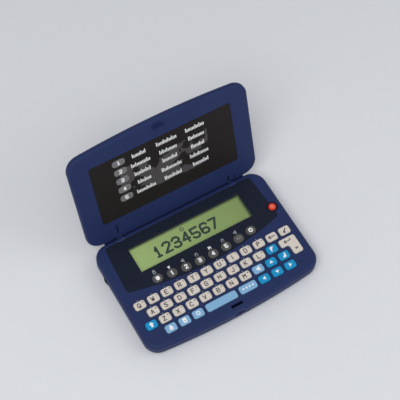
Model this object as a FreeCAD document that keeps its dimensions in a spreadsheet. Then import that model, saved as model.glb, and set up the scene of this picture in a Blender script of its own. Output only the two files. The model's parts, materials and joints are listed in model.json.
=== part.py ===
"""Handheld translator with a hinged lid, modelled open as it is used.

Millimetres, +Z up. The origin is the middle of the flat underside, +X runs to the right of the
keyboard and +Y towards the hinge. The lid pieces are drawn shut, lying on the base, and are then
swung open about the hinge axis.
"""
import FreeCAD
import Part
import Sketcher
import math
import os
import re

doc = FreeCAD.newDocument("translator")
sheet = doc.addObject("Spreadsheet::Sheet", "sizes")

SIZES = [
    # the plan outline, shared by both cases and the lid
    ("body_width", 119.0),
    ("body_depth", 78.6),
    ("front_bow_radius", 500.0),
    ("corner_radius", 9.5),
    ("wall", 1.8),
    # heights of the base
    ("base_height", 11.0),
    ("seam_height", 6.5),
    ("floor_thickness", 1.5),
    ("deck_thickness", 1.5),
    ("keel_radius", 4.5),
    ("deck_edge_radius", 2.0),
    ("seam_edge", 0.25),
    # hinge
    ("hinge_from_rear", 2.1),
    ("hinge_below_deck", 0.8),
    ("hinge_x", 39.7),
    ("hinge_arm_width", 3.6),
    ("hinge_side_gap", 0.5),
    ("hinge_ear_width", 2.5),
    ("hinge_pin_radius", 0.5),
    ("hinge_running_gap", 0.05),
    ("hinge_barrel_radius", 1.3),
    ("hinge_gap", 0.35),
    ("hinge_notch_depth", 3.7),
    ("hinge_wall", 1.6),
    ("hinge_arm_reach", 0.8),
    # lid
    ("lid_gap", 1.1),
    ("lid_panel_thickness", 1.8),
    ("lid_shell_thickness", 3.2),
    ("lid_skin", 1.4),
    ("lid_edge_radius", 2.4),
    ("lid_rim_radius", 1.3),
    ("lid_setback", 3.1),
    ("lid_overhang", 0.5),
    ("lid_rib", 1.2),
    ("lid_open_angle", 107.8),
    ("insert_width", 94.2),
    ("insert_depth", 47.0),
    ("insert_thickness", 0.6),
    ("insert_from_hinge", 16.7),
    ("insert_corner", 1.5),
    ("slit_width", 0.5),
    ("slit_length", 7.4),
    ("slit_depth", 0.8),
    ("slit_from_hinge", 4.8),
    # latch
    ("slot_width", 7.8),
    ("slot_depth", 1.9),
    ("slot_from_front", 3.7),
    ("tongue_width", 6.6),
    ("tongue_thickness", 1.0),
    ("tongue_reach", 2.8),
    ("thumb_notch_width", 9.0),
    ("thumb_notch_depth", 0.8),
    # keys
    ("key_pitch", 9.2),
    ("row_pitch", 7.17),
    ("first_row_from_front", 32.5),
    ("second_row_shift", 5.07),
    ("key_width", 7.2),
    ("key_depth", 5.2),
    ("key_corner", 1.4),
    ("key_rise", 0.8),
    ("key_bevel", 0.35),
    ("key_clearance", 0.3),
    ("hole_corner", 1.0),
    ("key_travel", 0.6),
    ("flange_margin", 0.55),
    ("flange_thickness", 0.5),
    ("flange_gap", 0.3),
    ("plunger_width", 2.4),
    ("space_width", 21.0),
    ("wide_width", 11.8),
    ("enter_bar_width", 11.3),
    ("enter_stem_width", 6.4),
    # round function buttons
    ("button_pitch", 9.35),
    ("button_width", 6.7),
    ("button_depth", 5.8),
    ("button_corner", 2.8),
    ("button_rise", 0.6),
    ("button_arc_radius", 227.0),
    ("button_from_front", 40.5),
    ("power_from_bezel_side", 0.3),
    ("power_from_front", 50.3),
    ("power_radius", 2.4),
    ("power_ring", 1.2),
    # display
    ("bezel_thickness", 0.8),
    ("bezel_top_half", 51.2),
    ("bezel_low_half", 53.2),
    ("bezel_arc_radius", 200.0),
    ("bezel_rear_margin", 2.9),
    ("bezel_side_from_front", 43.6),
    ("bezel_corner", 2.2),
    ("window_width", 78.0),
    ("window_depth", 17.0),
    ("window_from_front", 59.9),
    ("window_seat", 0.8),
    ("window_sink", 0.15),
    ("fit_gap", 0.1),
    ("lcd_margin", 3.0),
    # circuit board and battery
    ("board_side_gap", 5.0),
    ("board_end_gap", 7.8),
    ("board_thickness", 1.2),
    ("board_boss_gap", 1.0),
    ("post_radius", 2.0),
    ("cell_radius", 10.0),
    ("cell_thickness", 3.2),
    ("cell_x", -26.0),
    ("cell_y", 14.0),
    ("cell_clearance", 0.5),
    ("well_wall", 1.2),
    ("door_width", 25.0),
    ("door_length", 33.0),
    ("door_thickness", 1.2),
    ("door_recess", 1.3),
    ("door_corner", 2.0),
    ("door_screw_offset", 13.6),
    ("contact_thickness", 0.3),
    ("contact_width", 5.0),
    ("side_contact_width", 2.4),
    # screws
    ("screw_from_side", 8.0),
    ("screw_from_rear", 7.9),
    ("screw_from_front", 10.1),
    ("screw_radius", 0.9),
    ("screw_length", 6.6),
    ("screw_head_radius", 1.8),
    ("screw_head_height", 1.1),
    ("screw_sink", 0.4),
    ("boss_radius", 2.7),
    # contrast wheel
    ("wheel_y", 20.0),
    ("wheel_radius", 5.4),
    ("wheel_thickness", 1.8),
    ("wheel_z", 3.6),
    ("wheel_proud", 0.7),
    ("wheel_axle_radius", 1.2),
    ("wheel_clearance", 0.35),
]
WORDS = {name for name, _ in SIZES}
for row, (name, value) in enumerate(SIZES, start=1):
    sheet.set(f"A{row}", name)
    sheet.set(f"B{row}", str(value))
    sheet.setAlias(f"B{row}", name)
doc.recompute()


def size(name):
    """The value of one named size."""
    return float(sheet.get(name))


def linked(expression):
    """The expression with each size's name pointed at the sheet."""
    return re.sub(r"[a-z][a-z_]+", lambda m: "sizes." + m[0] if m[0] in WORDS else m[0],
                  str(expression))


def bind(obj, **properties):
    """Ties properties of an object to expressions of named sizes; x, y and z are its place."""
    places = {"x": "Placement.Base.x", "y": "Placement.Base.y", "z": "Placement.Base.z"}
    for key, expression in properties.items():
        obj.setExpression(places.get(key, key), linked(expression))
    return obj


def block(name, length, width, height, x, y, z):
    """A box centred on x and y, standing on z."""
    obj = doc.addObject("Part::Box", name)
    return bind(obj, Length=length, Width=width, Height=height,
                x=f"({x}) - ({length}) / 2", y=f"({y}) - ({width}) / 2", z=z)


def rod(name, radius, height, x, y, z, along=None):
    """A cylinder from x, y, z; along turns its axis from Z to X."""
    obj = doc.addObject("Part::Cylinder", name)
    bind(obj, Radius=radius, Height=height, x=x, y=y, z=z)
    if along == "x":
        obj.Placement.Rotation = FreeCAD.Rotation(FreeCAD.Vector(0, 1, 0), 90)
    return obj


def joined(name, pieces):
    """The union of the pieces."""
    obj = doc.addObject("Part::MultiFuse", name)
    obj.Shapes = pieces
    obj.Refine = True
    return obj


def group(name, pieces):
    """Separate solids under one name."""
    obj = doc.addObject("Part::Compound", name)
    obj.Links = pieces
    return obj


def removed(name, base, tool):
    """The base without the tool."""
    obj = doc.addObject("Part::Cut", name)
    obj.Base = base
    obj.Tool = tool
    obj.Refine = True
    return obj


def upright(edge):
    """True for a straight edge that runs along Z."""
    if len(edge.Vertexes) < 2:
        return False
    span = edge.Vertexes[1].Point - edge.Vertexes[0].Point
    return abs(span.x) < 1e-6 and abs(span.y) < 1e-6 and abs(span.z) > 1e-6


def level(height):
    """A test for edges that lie flat at that height."""
    def test(edge):
        box = edge.BoundBox
        return abs(box.ZMin - height) < 1e-4 and abs(box.ZMax - height) < 1e-4
    return test


def eased(name, base, kind, chosen, amount):
    """Rounds (Part::Fillet) or bevels (Part::Chamfer) the chosen edges by the amount."""
    doc.recompute()
    obj = doc.addObject(kind, name)
    obj.Base = base
    obj.Edges = [(n, amount, amount) for n, edge in enumerate(base.Shape.Edges, 1) if chosen(edge)]
    return obj


def bowed_slab(name, half_back, half_front, y_back, y_ends, bow, z, height, corner):
    """A flat slab with a straight rear, straight sides and a front that bows out as an arc.

    half_back and half_front are half its width at the rear and where the arc starts, y_ends is
    where the arc starts, bow the arc's radius and corner the radius of its four upright corners.
    """
    body = doc.addObject("PartDesign::Body", name)
    sketch = body.newObject("Sketcher::SketchObject", name + "_outline")
    plane = next(f for f in body.Origin.OriginFeatures if f.Role == "XY_Plane")
    sketch.AttachmentSupport = (plane, "")
    sketch.MapMode = "FlatFace"
    sketch.setExpression("AttachmentOffset.Base.z", linked(z))
    # a first guess at the shape, which the constraints then set
    wide, deep, radius = size("body_width") / 2, size("body_depth") / 2, size("front_bow_radius")
    spread = math.asin(wide / radius)
    centre = FreeCAD.Vector(0, -deep + radius * math.cos(spread), 0)
    corners = [FreeCAD.Vector(sx * wide, sy * deep, 0) for sx, sy in ((1, -1), (1, 1), (-1, 1), (-1, -1))]
    for start, end in zip(corners, corners[1:]):
        sketch.addGeometry(Part.LineSegment(start, end), False)
    circle = Part.Circle(centre, FreeCAD.Vector(0, 0, 1), radius)
    sketch.addGeometry(Part.ArcOfCircle(circle, -math.pi / 2 - spread, -math.pi / 2 + spread), False)
    right, back, left, front = range(4)
    start, end = 1, 2
    for a, b in ((right, back), (back, left), (left, front), (front, right)):
        sketch.addConstraint(Sketcher.Constraint("Coincident", a, end, b, start))
    sketch.addConstraint(Sketcher.Constraint("Symmetric", back, start, back, end, -2))
    sketch.addConstraint(Sketcher.Constraint("Symmetric", front, start, front, end, -2))
    sized = [
        (Sketcher.Constraint("DistanceX", -1, 1, back, start, wide), half_back),
        (Sketcher.Constraint("DistanceX", -1, 1, front, end, wide), half_front),
        (Sketcher.Constraint("DistanceY", -1, 1, back, start, deep), y_back),
        (Sketcher.Constraint("DistanceY", -1, 1, front, end, -deep), y_ends),
        (Sketcher.Constraint("Radius", front, radius), bow),
    ]
    for constraint, expression in sized:
        number = sketch.addConstraint(constraint)
        sketch.setExpression(f"Constraints[{number}]", linked(expression))
    doc.recompute()
    pad = body.newObject("PartDesign::Pad", name + "_pad")
    pad.Profile = sketch
    pad.setExpression("Length", linked(height))
    doc.recompute()
    corners = body.newObject("PartDesign::Fillet", name + "_corners")
    corners.Base = (pad, [f"Edge{n}" for n, e in enumerate(pad.Shape.Edges, 1) if upright(e)])
    corners.setExpression("Radius", linked(corner))
    doc.recompute()
    return body


def body_edge(body, height, radius):
    """Rounds a slab's edges at one height."""
    tip = body.Tip
    names = [f"Edge{n}" for n, e in enumerate(tip.Shape.Edges, 1) if level(height)(e)]
    fillet = body.newObject("PartDesign::Fillet", body.Name + f"_edge{len(body.Group)}")
    fillet.Base = (tip, names)
    fillet.setExpression("Radius", linked(radius))
    doc.recompute()
    return body


parts = {}


def keep(label, obj):
    """Names a finished sub-part; the label is also its file's name."""
    obj.Label = label
    parts[label] = obj
    return obj


# The plan outline: where the front arc meets the sides, for a slab set in from the outline.
HALF = "body_width / 2"
REAR = "body_depth / 2"
FRONT_ENDS = "-body_depth / 2 + front_bow_radius - sqrt(front_bow_radius ^ 2 - (body_width / 2) ^ 2)"
UNDERSIDE = "base_height - deck_thickness"
HINGE_Y = "(body_depth / 2 - hinge_from_rear)"
HINGE_Z = "(base_height - hinge_below_deck)"
LID_FACE = "base_height + lid_gap"


def outline_slab(name, inset, z, height):
    """A slab of the base's plan outline, set in all round by the inset."""
    return bowed_slab(name, f"{HALF} - ({inset})", f"{HALF} - ({inset})", f"{REAR} - ({inset})",
                      f"{FRONT_ENDS} + ({inset})", f"front_bow_radius - ({inset})", z, height,
                      f"corner_radius - ({inset})")


def lid_slab(name, inset, z, height):
    """A slab of the lid's plan outline: short of the rear edge, just over the front one."""
    return bowed_slab(name, f"{HALF} - ({inset})", f"{HALF} - ({inset})",
                      f"{REAR} - lid_setback - ({inset})", f"{FRONT_ENDS} - lid_overhang + ({inset})",
                      f"front_bow_radius - ({inset})", z, height, f"corner_radius - ({inset})")


def row_y(row):
    """The middle of a key row in y; row 1 is the rearmost."""
    return f"(first_row_from_front - body_depth / 2 - {row - 1} * row_pitch)"


def column_x(column):
    """The middle of a key column; the twelve columns are centred on the body."""
    return f"(({column} - 5.5) * key_pitch)"


# The letter keys are one soft moulding; the others are single keys: name, width, x, y.
letters = [(column_x(i), row_y(1)) for i in range(10)]
letters += [(f"({column_x(i)} + second_row_shift)", row_y(2)) for i in range(9)]
letters += [(column_x(i), row_y(3)) for i in range(1, 8)]

KEY_SPACE = "(key_pitch - key_width)"
space_x = f"({column_x(3)} + key_width / 2 + {KEY_SPACE} + space_width / 2)"
wide_x = f"({space_x} + space_width / 2 + {KEY_SPACE} + wide_width / 2)"
commands = [
    ("erase_key", "key_width", column_x(10), row_y(1)),
    ("edit_key", "key_width", column_x(11), row_y(1)),
    ("page_up_key", "key_width", f"({column_x(9)} + second_row_shift)", row_y(2)),
    ("shift_key", "key_width", column_x(0), row_y(3)),
    ("symbol_key", "key_width", column_x(8), row_y(3)),
    ("up_key", "key_width", column_x(9), row_y(3)),
    ("page_down_key", "key_width", column_x(10), row_y(3)),
    ("mode_key_1", "key_width", column_x(1), row_y(4)),
    ("mode_key_2", "key_width", column_x(2), row_y(4)),
    ("mode_key_3", "key_width", column_x(3), row_y(4)),
    ("space_key", "space_width", space_x, row_y(4)),
    ("wide_key", "wide_width", wide_x, row_y(4)),
    ("left_key", "key_width", column_x(8), row_y(4)),
    ("down_key", "key_width", column_x(9), row_y(4)),
    ("right_key", "key_width", column_x(10), row_y(4)),
]

# The stack under the deck: flange, plunger, room to travel, board.
FLANGE_Z = f"({UNDERSIDE} - flange_gap - flange_thickness)"
SHEET_Z = f"({UNDERSIDE} - flange_thickness)"
PLUNGER_Z = f"({FLANGE_Z} - flange_thickness)"
BOARD_TOP = f"({PLUNGER_Z} - key_travel - flange_gap)"
BOARD_Z = f"({BOARD_TOP} - board_thickness)"
key_top = size("base_height") + size("key_rise")
button_top = size("base_height") + size("button_rise")


def cap_block(name, width, depth, corner, x, y, z, rise):
    """A cap with rounded corners and a bevelled top, from z up to the rise above the deck."""
    cap = block(name + "_cap", width, depth, f"base_height + {rise} - {z}", x, y, z)
    cap = eased(name + "_corners", cap, "Part::Fillet", upright, size(corner))
    top = size("base_height") + size(rise)
    return eased(name + "_bevel", cap, "Part::Chamfer", level(top), size("key_bevel"))


def hole_block(name, width, depth, x, y):
    """The opening through the deck for one cap, with the key's clearance."""
    return block(name + "_hole", f"{width} + 2 * key_clearance", f"{depth} + 2 * key_clearance",
                 "3 * deck_thickness", x, y, f"{UNDERSIDE} - deck_thickness")


def key_hole(name, width, x, y):
    """A key's opening, with its corners cut across."""
    hole = hole_block(name, width, "key_depth", x, y)
    return eased(name + "_corner", hole, "Part::Chamfer", upright, size("hole_corner"))


def plunger(name, x, y):
    """The short square stub under a key that presses its contact on the board."""
    return block(name + "_plunger", "plunger_width", "plunger_width", "flange_thickness", x, y, PLUNGER_Z)


def flanged(name, width, depth, cap, x, y):
    """A loose key: the cap on a flange that the deck holds in, with its plunger."""
    flange = block(name + "_flange", f"{width} + 2 * flange_margin", f"{depth} + 2 * flange_margin",
                   "flange_thickness", x, y, FLANGE_Z)
    keep(name, joined(name + "_solid", [cap, flange, plunger(name, x, y)]))


# The letter keys stand on one sheet that lies against the deck, on feet between the rows.
holes = []
mat = []
for i, (x, y) in enumerate(letters):
    mat.append(cap_block(f"letter_{i}", "key_width", "key_depth", "key_corner", x, y, SHEET_Z, "key_rise"))
    mat.append(block(f"letter_{i}_sheet", "key_pitch", "row_pitch", "flange_thickness", x, y, SHEET_Z))
    mat.append(block(f"letter_{i}_plunger", "plunger_width", "plunger_width",
                     "flange_thickness + flange_gap", x, y, PLUNGER_Z))
    holes.append(key_hole(f"letter_{i}", "key_width", x, y))
for row in (1, 2):
    for column in (2, 4, 6):
        mat.append(block(f"mat_foot_{row}_{column}", "plunger_width / 2", "plunger_width / 2",
                         f"{SHEET_Z} - {BOARD_TOP}", column_x(column),
                         f"{row_y(row)} - row_pitch / 2", BOARD_TOP))
keep("letter_keypad", joined("letter_keypad_solid", mat))

for name, width, x, y in commands:
    cap = cap_block(name, width, "key_depth", "key_corner", x, y, FLANGE_Z, "key_rise")
    flanged(name, width, "key_depth", cap, x, y)
    holes.append(key_hole(name, width, x, y))

# ENTER is an L over two rows: a bar across the top and a stem down the right.
enter_right = f"({column_x(11)} + key_width / 2)"
enter_top = f"({row_y(2)} + key_depth / 2)"
ENTER_DEPTH = "(row_pitch + key_depth)"
bite_width = "(enter_bar_width - enter_stem_width)"


def enter_shape(name, grow, z, height):
    """The L in plan, grown by a margin on every side."""
    bar = block(name + "_bar", f"enter_bar_width + 2 * ({grow})", f"{ENTER_DEPTH} + 2 * ({grow})",
                height, f"{enter_right} - enter_bar_width / 2", f"{enter_top} - {ENTER_DEPTH} / 2", z)
    bite = block(name + "_bite", bite_width, "row_pitch", height,
                 f"{enter_right} - enter_bar_width + {bite_width} / 2 - ({grow})",
                 f"{enter_top} - {ENTER_DEPTH} + row_pitch / 2 - ({grow})", z)
    return removed(name + "_ell", bar, bite)


enter_cap = enter_shape("enter_cap", "0", FLANGE_Z, f"base_height + key_rise - {FLANGE_Z}")
enter_cap = eased("enter_corners", enter_cap, "Part::Fillet", upright, size("key_corner"))
enter_cap = eased("enter_bevel", enter_cap, "Part::Chamfer", level(key_top), size("key_bevel"))
enter_flange = enter_shape("enter_flange", "flange_margin", FLANGE_Z, "flange_thickness")
keep("enter_key", joined("enter_solid", [enter_cap, enter_flange,
                                         plunger("enter", f"{enter_right} - enter_stem_width / 2",
                                                 row_y(2))]))
enter_hole = enter_shape("enter_hole", "key_clearance", f"{UNDERSIDE} - deck_thickness",
                         "3 * deck_thickness")
holes.append(eased("enter_hole_round", enter_hole, "Part::Fillet", upright, size("key_corner")))

# Eight buttons stand on an arc under the display, and the round power button beside it.
bezel_holes = []
for i in range(8):
    name = f"function_button_{i + 1}"
    x = f"(({i} - 3.5) * button_pitch)"
    y = (f"(button_from_front - body_depth / 2 + button_arc_radius"
         f" - sqrt(button_arc_radius ^ 2 - {x} ^ 2))")
    cap = cap_block(name, "button_width", "button_depth", "button_corner", x, y, FLANGE_Z, "button_rise")
    flanged(name, "button_width", "button_depth", cap, x, y)
    hole = hole_block(name, "button_width", "button_depth", x, y)
    bezel_holes.append(eased(name + "_round", hole, "Part::Fillet", upright,
                             size("button_corner") + size("key_clearance")))
POWER_X = "(bezel_low_half - power_from_bezel_side)"
POWER_Y = "(power_from_front - body_depth / 2)"
power_cap = rod("power_cap", "power_radius", f"base_height + button_rise - {FLANGE_Z}", POWER_X,
                POWER_Y, FLANGE_Z)
power_cap = eased("power_bevel", power_cap, "Part::Chamfer", level(button_top), size("key_bevel"))
power_flange = rod("power_flange", "power_radius + flange_margin", "flange_thickness", POWER_X,
                   POWER_Y, FLANGE_Z)
keep("power_button", joined("power_solid", [power_cap, power_flange,
                                            plunger("power", POWER_X, POWER_Y)]))
bezel_holes.append(rod("power_hole", "power_radius + key_clearance", "3 * deck_thickness", POWER_X,
                       POWER_Y, f"{UNDERSIDE} - deck_thickness"))

# Where the lid's two arms hang in the rear edge of the deck.
notches = []
hinge_blocks = []
pin_bores = []
pins = []
arm_bores = []
arms = []
EAR_SPAN = "(hinge_arm_width + 2 * hinge_side_gap + 2 * hinge_ear_width)"
NOTCH_FRONT = f"({HINGE_Y} - hinge_barrel_radius - hinge_gap)"
NOTCH_Z = "(base_height - hinge_notch_depth)"
for side, sign in (("left", -1), ("right", 1)):
    x = f"({sign} * hinge_x)"
    depth = f"(body_depth / 2 + wall - {NOTCH_FRONT})"
    notches.append(block(f"notch_{side}", "hinge_arm_width + 2 * hinge_side_gap", depth,
                         "hinge_notch_depth + wall", x, f"{NOTCH_FRONT} + {depth} / 2", NOTCH_Z))
    depth = f"(body_depth / 2 - wall / 2 - {NOTCH_FRONT} + hinge_wall)"
    hinge_blocks.append(block(f"hinge_block_{side}", EAR_SPAN, depth, f"{UNDERSIDE} - seam_height",
                              x, f"{NOTCH_FRONT} - hinge_wall + {depth} / 2", "seam_height"))
    start = f"{x} - {EAR_SPAN} / 2"
    pins.append(rod(f"pin_{side}", "hinge_pin_radius", EAR_SPAN, start, HINGE_Y, HINGE_Z, "x"))
    pin_bores.append(rod(f"pin_bore_{side}", "hinge_pin_radius", EAR_SPAN, start, HINGE_Y, HINGE_Z, "x"))
    arm_start = f"{x} - hinge_arm_width / 2"
    arms.append(rod(f"barrel_{side}", "hinge_barrel_radius", "hinge_arm_width", arm_start, HINGE_Y,
                    HINGE_Z, "x"))
    arms.append(block(f"arm_{side}", "hinge_arm_width", "hinge_barrel_radius + hinge_arm_reach",
                      f"{LID_FACE} + lid_panel_thickness - {HINGE_Z}", x,
                      f"{HINGE_Y} - (hinge_barrel_radius - hinge_arm_reach) / 2", HINGE_Z))
    arms.append(block(f"arm_root_{side}", "hinge_arm_width", "lid_setback + hinge_arm_reach",
                      "lid_panel_thickness", x,
                      f"{HINGE_Y} + hinge_arm_reach - (lid_setback + hinge_arm_reach) / 2", LID_FACE))
    arm_bores.append(rod(f"arm_bore_{side}", "hinge_pin_radius + hinge_running_gap",
                         "hinge_arm_width", arm_start, HINGE_Y, HINGE_Z, "x"))
keep("hinge_pins", group("hinge_pin_pair", pins))

# Display: the black bezel lies in a recess of the deck, with a clear pane over the panel.
WINDOW_Y = "(window_from_front - body_depth / 2)"
BEZEL_Z = "(base_height - bezel_thickness)"


def bezel_slab(name, grow, height):
    """The bezel's plan, grown by a gap, with the lobe round the power button."""
    slab = bowed_slab(name, f"bezel_top_half + ({grow})", f"bezel_low_half + ({grow})",
                      f"{REAR} - bezel_rear_margin + ({grow})",
                      f"bezel_side_from_front - body_depth / 2 - ({grow})",
                      f"bezel_arc_radius + ({grow})", BEZEL_Z, height, f"bezel_corner + ({grow})")
    lobe = rod(name + "_lobe", f"power_radius + power_ring + ({grow})", height, POWER_X, POWER_Y,
               BEZEL_Z)
    return joined(name + "_lobed", [slab, lobe])


def window_block(name, grow, z, height):
    """The display window's rectangle, grown by a margin."""
    return block(name, f"window_width + 2 * ({grow})", f"window_depth + 2 * ({grow})", height, "0",
                 WINDOW_Y, z)


window_hole = window_block("window_hole", "0", f"{UNDERSIDE} - deck_thickness", "3 * deck_thickness")
pane_seat = window_block("pane_seat", "window_seat", "base_height - bezel_thickness / 2",
                         "bezel_thickness")
keep("display_bezel", removed("bezel_cut", bezel_slab("bezel", "0", "bezel_thickness"),
                              group("bezel_openings", bezel_holes + notches + [window_hole, pane_seat])))
keep("display_window", window_block("window_pane", "window_seat - fit_gap",
                                    "base_height - bezel_thickness / 2",
                                    "bezel_thickness / 2 - window_sink"))
keep("lcd_panel", window_block("lcd_glass", "lcd_margin", BOARD_TOP, f"{UNDERSIDE} - {BOARD_TOP}"))

# Upper case: deck and side walls, with the hinge ears and the screw bosses inside.
SCREW_X = "(body_width / 2 - screw_from_side)"
SCREW_REAR_Y = "(body_depth / 2 - screw_from_rear)"
SCREW_FRONT_Y = "(screw_from_front - body_depth / 2)"
screw_places = [(f"{sx} * {SCREW_X}", y) for sx in (-1, 1) for y in (SCREW_REAR_Y, SCREW_FRONT_Y)]


def at_screws(name, radius, height, z):
    """Four rods, one at each case screw."""
    return [rod(f"{name}_{n}", radius, height, x, y, z) for n, (x, y) in enumerate(screw_places)]


upper = outline_slab("upper_outer", "0", "seam_height", "base_height - seam_height")
upper = body_edge(upper, size("base_height"), "deck_edge_radius")
upper = body_edge(upper, size("seam_height"), "seam_edge")
upper_room = outline_slab("upper_room", "wall", "seam_height", f"{UNDERSIDE} - seam_height")
deck_window = window_block("deck_window", "window_seat / 2", f"{UNDERSIDE} - deck_thickness",
                           "3 * deck_thickness")
latch_slot = block("latch_slot", "slot_width", "slot_depth", "3 * deck_thickness", "0",
                   "-body_depth / 2 + slot_from_front + slot_depth / 2", f"{UNDERSIDE} - deck_thickness")
THUMB_RADIUS = "(((thumb_notch_width / 2) ^ 2 + thumb_notch_depth ^ 2) / (2 * thumb_notch_depth))"
thumb = rod("thumb_notch", THUMB_RADIUS, "base_height", "0",
            f"-body_depth / 2 + thumb_notch_depth - {THUMB_RADIUS}", "seam_height")
openings = [upper_room, bezel_slab("bezel_recess", "fit_gap", "2 * bezel_thickness"), deck_window,
            latch_slot, thumb]
upper_shell = removed("upper_shell", upper, group("upper_openings", openings + holes + bezel_holes))
upper_bosses = at_screws("upper_boss", "boss_radius", f"{UNDERSIDE} - seam_height", "seam_height")
upper_full = joined("upper_full", [upper_shell] + upper_bosses + hinge_blocks)
screw_bores = at_screws("screw_bore", "screw_radius + fit_gap / 2", "screw_length + screw_head_height", "0")
keep("upper_case", removed("upper_case_solid", upper_full,
                           group("upper_bores", notches + pin_bores + screw_bores)))

# Lower case: rounded keel, bosses, posts for the board, well for the cell, step for the wheel.
lower = outline_slab("lower_outer", "0", "0", "seam_height")
lower = body_edge(lower, 0.0, "keel_radius")
lower = body_edge(lower, size("seam_height"), "seam_edge")
lower_room = outline_slab("lower_room", "wall", "floor_thickness", "seam_height")
lower_room = body_edge(lower_room, size("floor_thickness"), "keel_radius - wall / 2")
CELL_Z = "door_recess"
STRIP_Z = "(door_recess + cell_thickness)"
PAD_Y = "(cell_y + door_length / 2 - cell_radius - cell_clearance - well_wall)"
DOOR_SCREW_Y = "(cell_y + door_screw_offset)"
well = rod("cell_well", "cell_radius + cell_clearance + well_wall", f"{STRIP_Z} - floor_thickness",
           "cell_x", "cell_y", "floor_thickness / 2")
door_pad = block("door_pad", "door_width + 2 * wall", "door_length + wall",
                 "floor_thickness / 2 + well_wall", "cell_x", f"{PAD_Y} - wall / 2",
                 "floor_thickness / 2")
door_boss = rod("door_boss", "boss_radius", "seam_height - door_recess - door_thickness", "cell_x",
                DOOR_SCREW_Y, "floor_thickness / 2")
lower_bosses = at_screws("lower_boss", "boss_radius", "seam_height - floor_thickness / 2",
                         "floor_thickness / 2")
post_places = [(-44, 26), (44, 26), (44, 0), (-44, 0), (0, -18), (28, -18), (-34, -18), (12, 26)]
posts = [rod(f"board_post_{n}", "post_radius", f"{BOARD_Z} - floor_thickness / 2", x, y,
             "floor_thickness / 2")
         for n, (x, y) in enumerate(post_places)]
WHEEL_X = "(-body_width / 2 - wheel_proud + wheel_radius)"
wheel_axle = rod("wheel_axle", "wheel_axle_radius - hinge_running_gap",
                 "wheel_z + wheel_thickness - floor_thickness / 2", WHEEL_X, "wheel_y",
                 "floor_thickness / 2")
wheel_step = rod("wheel_step", "2 * wheel_axle_radius",
                 "wheel_z - wheel_clearance - floor_thickness / 2", WHEEL_X, "wheel_y",
                 "floor_thickness / 2")
wheel_slot = rod("wheel_slot", "wheel_radius + wheel_clearance", "wheel_thickness + 2 * wheel_clearance",
                 WHEEL_X, "wheel_y", "wheel_z - wheel_clearance")
lower_shell = removed("lower_shell", lower, group("lower_openings", [lower_room, wheel_slot]))
lower_full = joined("lower_full", [lower_shell, well, door_pad, door_boss, wheel_axle, wheel_step]
                    + lower_bosses + posts)
door_space = block("door_space", "door_width + 2 * fit_gap", "door_length + 2 * fit_gap",
                   "door_recess", "cell_x", PAD_Y, "0")
door_space = eased("door_space_round", door_space, "Part::Fillet", upright,
                   size("door_corner") + size("fit_gap"))
cell_room = rod("cell_room", "cell_radius + cell_clearance", "seam_height", "cell_x", "cell_y",
                "floor_thickness / 2")
door_bore = rod("door_bore", "screw_radius + fit_gap / 2", "screw_length", "cell_x", DOOR_SCREW_Y, "0")
head_sinks = at_screws("head_sink", "screw_head_radius + fit_gap", "screw_sink + screw_head_height", "0")
keep("lower_case", removed("lower_case_solid", lower_full,
                           group("lower_bores", [door_space, cell_room, door_bore]
                                 + screw_bores + head_sinks)))

# Contrast wheel: a disc with points round its rim, on its own axle, just proud of the left wall.
discs = []
for n in range(2):
    disc = doc.addObject("Part::Prism", f"wheel_disc_{n}")
    disc.Polygon = 14
    bind(disc, Circumradius="wheel_radius", Height="wheel_thickness", x=WHEEL_X, y="wheel_y", z="wheel_z")
    disc.Placement.Rotation = FreeCAD.Rotation(FreeCAD.Vector(0, 0, 1), n * 180 / disc.Polygon)
    discs.append(disc)
wheel_bore = rod("wheel_bore", "wheel_axle_radius", "wheel_thickness", WHEEL_X, "wheel_y", "wheel_z")
keep("contrast_wheel", removed("wheel_solid", joined("wheel_rim", discs), wheel_bore))

# Circuit board on its posts, cut back at the corners for the bosses, chips on its underside.
BOARD_X = "(body_width / 2 - board_side_gap)"
BOARD_Y = "(body_depth / 2 - board_end_gap)"
plate = block("board_plate", f"2 * {BOARD_X}", f"2 * {BOARD_Y}", "board_thickness", "0", "0", BOARD_Z)
corner_cuts = []
for sx in (-1, 1):
    for sy, inset in ((1, "screw_from_rear"), (-1, "screw_from_front")):
        corner_cuts.append(block(f"board_corner_{sx}_{sy}".replace("-", "m"),
                                 "2 * (screw_from_side - board_side_gap + boss_radius + board_boss_gap)",
                                 f"2 * ({inset} - board_end_gap + boss_radius + board_boss_gap)",
                                 "board_thickness", f"{sx} * {BOARD_X}", f"{sy} * {BOARD_Y}", BOARD_Z))
chips = [block(f"chip_{n}", w, d, "board_thickness * 1.6", x, y, f"{BOARD_Z} - board_thickness * 0.7")
         for n, (w, d, x, y) in enumerate(((14, 14, 12, 8), (8, 5, 30, 14), (5, 3, 30, 4)))]
keep("circuit_board", joined("board_full", [removed("board_cut", plate,
                                                    group("board_corners", corner_cuts))] + chips))

# Coin cell, its two contact strips, and the door that holds it from below.
cell = rod("cell_disc", "cell_radius", "cell_thickness", "cell_x", "cell_y", CELL_Z)
cell = eased("cell_rim", cell, "Part::Chamfer", level(size("door_recess") + size("cell_thickness")), 0.3)
keep("coin_cell", cell)
strip = block("strip_top", "contact_width", "cell_radius", "contact_thickness", "cell_x", "cell_y",
              STRIP_Z)
strip_leg = block("strip_leg", "contact_width", "contact_thickness", f"{BOARD_Z} - {STRIP_Z}", "cell_x",
                  "cell_y + cell_radius / 2 - contact_thickness / 2", STRIP_Z)
side_strip = block("strip_side", "contact_thickness", "side_contact_width", f"{BOARD_Z} - floor_thickness",
                   "cell_x + cell_radius + contact_thickness / 2", "cell_y", "floor_thickness")
keep("battery_contacts", group("contact_pair", [joined("strip_over", [strip, strip_leg]), side_strip]))
door = block("door_plate", "door_width", "door_length", "door_thickness", "cell_x", PAD_Y,
             "door_recess - door_thickness")
door = eased("door_round", door, "Part::Fillet", upright, size("door_corner"))
HEAD_Z = "(door_recess - door_thickness)"
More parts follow.
